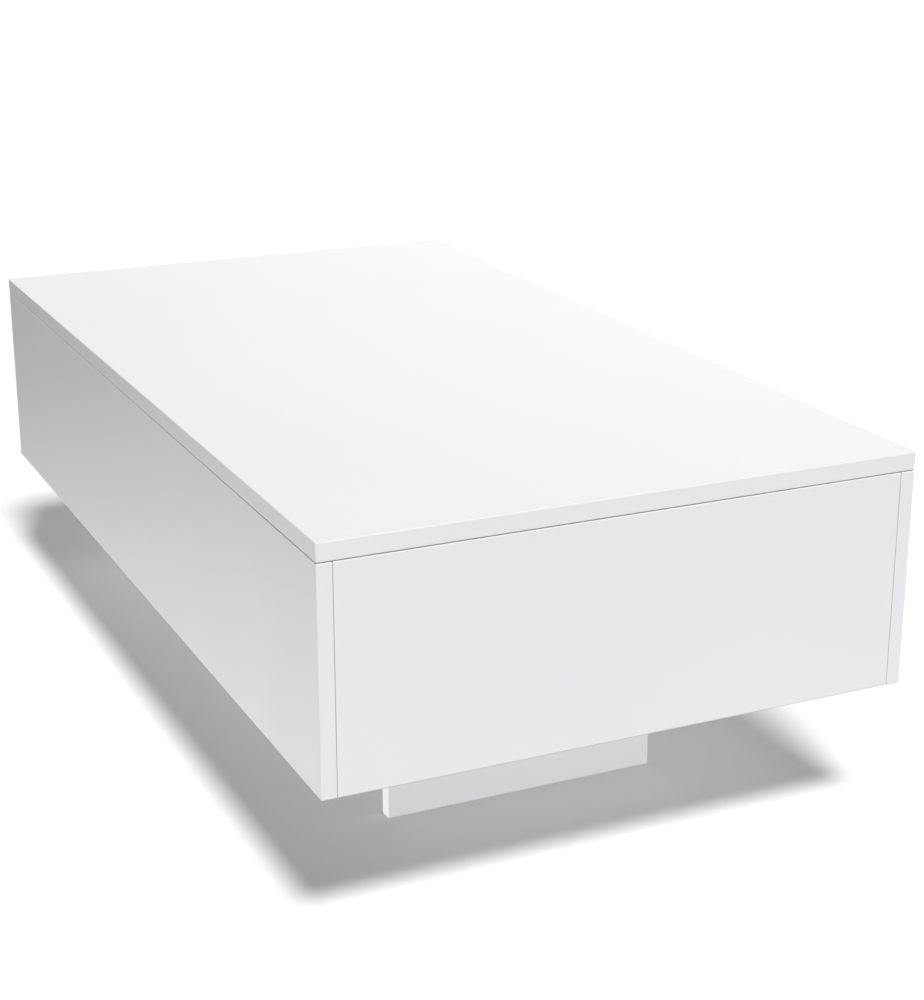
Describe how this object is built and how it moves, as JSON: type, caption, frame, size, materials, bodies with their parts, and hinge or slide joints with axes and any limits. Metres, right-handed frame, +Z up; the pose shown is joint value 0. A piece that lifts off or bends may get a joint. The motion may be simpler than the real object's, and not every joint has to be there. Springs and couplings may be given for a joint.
{
  "type": "lift top coffee table",
  "caption": "Gloss white box coffee table on a recessed base, whose whole top lifts up and out over one long side to open a storage well.",
  "frame": {"origin": "on the floor, under the middle of the table", "axes": "+Z up, +Y along the table's length; the lid lifts towards -X, and the near end is at -Y"},
  "size_m": [0.6, 1.1, 0.388],
  "materials": {
    "board": "high gloss white lacquered fibreboard",
    "zinc": "bright zinc plated steel",
    "black_steel": "satin black enamel",
    "chrome_rod": "polished chrome",
    "nylon": "natural nylon",
    "silicone": "soft clear bumper",
    "black_plastic": "matte black plastic",
    "beech": "fluted beech dowel"
  },
  "bodies": {
    "carcass": {"side_panel_left": "board", "side_panel_right": "board", "end_panel_near": "board", "end_panel_far": "board", "bottom_panel": "board", "leg_board_near": "board", "leg_board_far": "board", "base_rail": "board", "floor_glides": "nylon", "cam_locks": "zinc", "cam_dowels": "zinc", "wood_dowels": "beech", "base_screws": "zinc", "lid_bumpers": "silicone", "base_plate_near": "zinc", "base_plate_far": "zinc", "base_plate_screws": "zinc", "lower_pivot_pins": "zinc", "lower_pivot_washers": "nylon", "strut_lower_studs": "zinc"},
    "drive_links": {"drive_link_near": "zinc", "drive_link_far": "zinc", "cross_tube": "black_steel", "cross_tube_inserts": "zinc", "cross_tube_bolts": "zinc", "strut_upper_studs": "zinc"},
    "idle_links": {"idle_link_near": "zinc", "idle_link_far": "zinc"},
    "lid": {"lid_board": "board", "lid_bracket_near": "zinc", "lid_bracket_far": "zinc", "lid_bracket_screws": "zinc", "upper_pivot_pins": "zinc", "upper_pivot_washers": "nylon"},
    "strut_cylinders": {"strut_cylinder_near": "black_steel", "strut_cylinder_far": "black_steel", "cylinder_end_eyes": "black_plastic"},
    "strut_rods": {"strut_rod_near": "chrome_rod", "strut_rod_far": "chrome_rod", "strut_pistons": "nylon", "rod_end_eyes": "black_plastic"}
  },
  "joints": [
    {"name": "lift", "type": "hinge", "parent": "carcass", "child": "drive_links", "pos_m": [-0.17, 0, 0.294], "axis": [0, -1, 0], "range_deg": [0, 80]},
    {"name": "lid_pivot", "type": "hinge", "parent": "drive_links", "child": "lid", "pos_m": [0.045, 0, 0.34], "axis": [0, -1, 0], "range_deg": [-80, 0]},
    {"name": "idle_pivot", "type": "hinge", "parent": "carcass", "child": "idle_links", "pos_m": [-0.26, 0, 0.306], "axis": [0, -1, 0], "range_deg": [0, 80]},
    {"name": "strut_foot", "type": "hinge", "parent": "carcass", "child": "strut_cylinders", "pos_m": [-0.12866, 0, 0.19206], "axis": [0, -1, 0], "range_deg": [0, 40]},
    {"name": "strut_head", "type": "hinge", "parent": "drive_links", "child": "strut_rods", "pos_m": [-0.06243, 0, 0.31701], "axis": [0, -1, 0], "range_deg": [-40, 0]}
  ],
  "couplings": [
    {"joint": "lid_pivot", "follows": "lift", "ratio": -1},
    {"joint": "idle_pivot", "follows": "lift", "ratio": 1},
    {"joint": "strut_foot", "follows": "lift", "ratio": 0.5},
    {"joint": "strut_head", "follows": "lift", "ratio": -0.5}
  ]
}
